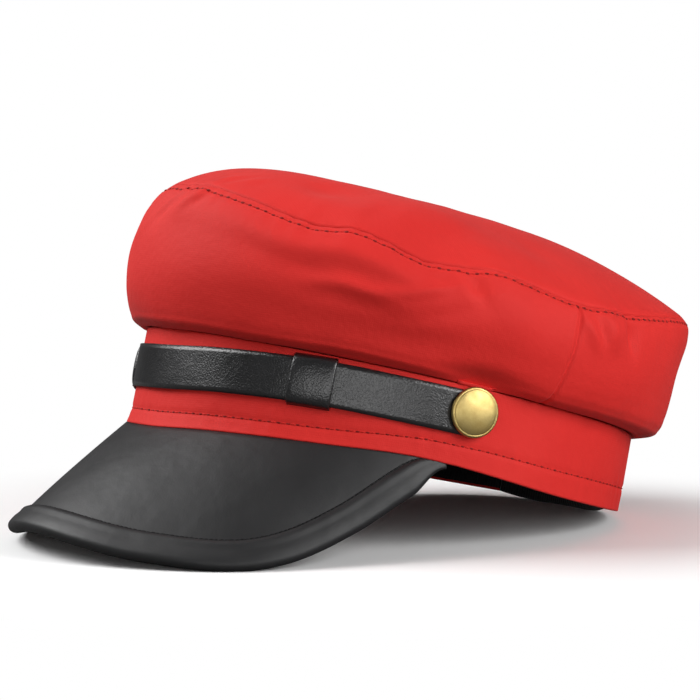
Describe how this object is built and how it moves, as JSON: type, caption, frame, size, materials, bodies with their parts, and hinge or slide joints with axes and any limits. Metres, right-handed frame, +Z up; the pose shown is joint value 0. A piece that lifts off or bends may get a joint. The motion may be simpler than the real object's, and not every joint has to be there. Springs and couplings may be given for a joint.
{
  "type": "chauffeur cap",
  "caption": "Soft red cotton cap with a puffed crown, an upright band, a sloping black leather peak with a bound edge, and a strap held by brass buttons.",
  "frame": {"origin": "centre of the cap's bounding box, at the surface it rests on", "axes": "+X the wearer's left, -Y the way the peak points, +Z up"},
  "size_m": [0.1963, 0.2794, 0.1375],
  "materials": {
    "red_cotton": "matt woven cotton",
    "black_leather": "smooth matt coated leather",
    "black_strap_leather": "smooth leather with a soft sheen",
    "black_webbing": "matt woven webbing",
    "antique_brass": "satin, slightly aged"
  },
  "bodies": {
    "root": {"crown_top": "red_cotton", "crown_front": "red_cotton", "crown_back": "red_cotton", "headband": "red_cotton", "sweatband": "black_webbing", "peak": "black_leather", "peak_binding": "black_leather", "strap": "black_strap_leather", "strap_keeper_left": "black_strap_leather", "strap_keeper_right": "black_strap_leather", "button_left": "antique_brass", "button_right": "antique_brass", "size_adjuster": "black_webbing"}
  },
  "joints": []
}
